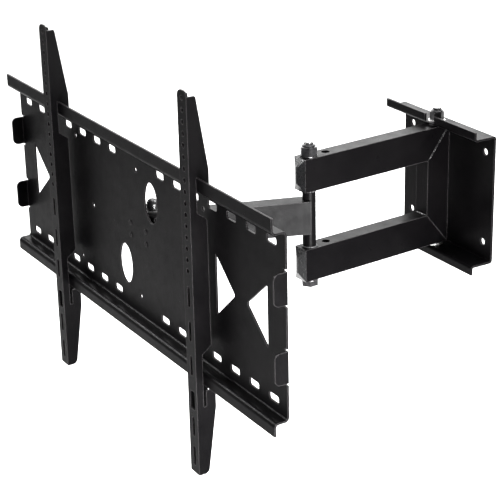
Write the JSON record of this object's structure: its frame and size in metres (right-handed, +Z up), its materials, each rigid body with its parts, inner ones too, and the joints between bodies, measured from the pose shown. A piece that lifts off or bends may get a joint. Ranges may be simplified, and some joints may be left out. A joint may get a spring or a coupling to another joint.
{
  "type": "full motion tv wall mount",
  "caption": "Articulated wall mount for a flat television: folding arm, swivel and tilt head, slotted plate with two hook-on brackets.",
  "frame": {"origin": "centre of the wall plate's screw pattern on its back face, which lies on the wall", "axes": "+X to the right along the wall as seen facing it, +Y into the wall, +Z up; the mount reaches out along -Y"},
  "size_m": [0.752, 0.5161, 0.521],
  "materials": {
    "black_powder_coat": "satin black powder coat with fine orange peel",
    "black_zinc": "black zinc plated fastener",
    "bright_zinc": "bright zinc plated",
    "nylon": "matt black nylon",
    "black_plastic": "satin black moulded plastic"
  },
  "bodies": {
    "wall": {"wall_plate": "black_powder_coat", "wall_pivot_bolt": "black_zinc", "wall_pivot_nut": "black_zinc", "wall_pivot_washers": "bright_zinc"},
    "arm": {"upper_arm_tube": "black_powder_coat", "lower_arm_tube": "black_powder_coat", "arm_post": "black_powder_coat", "arm_pivot_sleeve": "black_powder_coat", "wall_pivot_bushes": "nylon", "upper_arm_cap": "black_plastic", "lower_arm_cap": "black_plastic", "elbow_bolt": "black_zinc", "elbow_nut": "black_zinc", "elbow_washers": "black_zinc", "elbow_spacers": "black_powder_coat"},
    "forearm": {"forearm_tube": "black_powder_coat", "elbow_sleeve": "black_powder_coat", "elbow_bushes": "nylon", "pan_sleeve": "black_powder_coat", "pan_bushes": "nylon"},
    "swivel": {"swivel_yoke": "black_powder_coat", "pan_bolt": "black_zinc", "pan_cap_nut": "black_plastic", "pan_washers": "bright_zinc", "tilt_studs": "black_zinc", "tilt_nuts": "black_zinc", "tilt_washers": "bright_zinc", "tilt_friction_washers": "nylon"},
    "plate": {"tv_plate": "black_powder_coat", "tilt_bracket": "black_powder_coat", "tilt_bracket_rivets": "black_powder_coat"},
    "left_bracket": {"left_tv_bracket": "black_powder_coat"},
    "right_bracket": {"right_tv_bracket": "black_powder_coat"}
  },
  "joints": [
    {"name": "wall_swing", "type": "hinge", "parent": "wall", "child": "arm", "pos_m": [0, -0.0244, 0.0015], "axis": [0, 0, 1], "range_deg": [-82, 74]},
    {"name": "elbow", "type": "hinge", "parent": "arm", "child": "forearm", "pos_m": [0.01744, -0.25634, 0.0015], "axis": [0, 0, -1], "range_deg": [-120, 85]},
    {"name": "pan", "type": "hinge", "parent": "forearm", "child": "swivel", "pos_m": [-0.05461, -0.46209, 0.005], "axis": [0, 0, 1], "range_deg": [-60, 22]},
    {"name": "tilt", "type": "hinge", "parent": "swivel", "child": "plate", "pos_m": [-0.05461, -0.46209, 0.005], "axis": [1, 0, 0], "range_deg": [-5, 12]},
    {"name": "left_bracket_slide", "type": "slide", "parent": "plate", "child": "left_bracket", "axis": [1, 0, 0], "range_m": [-0.154, 0.174]},
    {"name": "right_bracket_slide", "type": "slide", "parent": "plate", "child": "right_bracket", "axis": [1, 0, 0], "range_m": [-0.16, 0.168]}
  ]
}
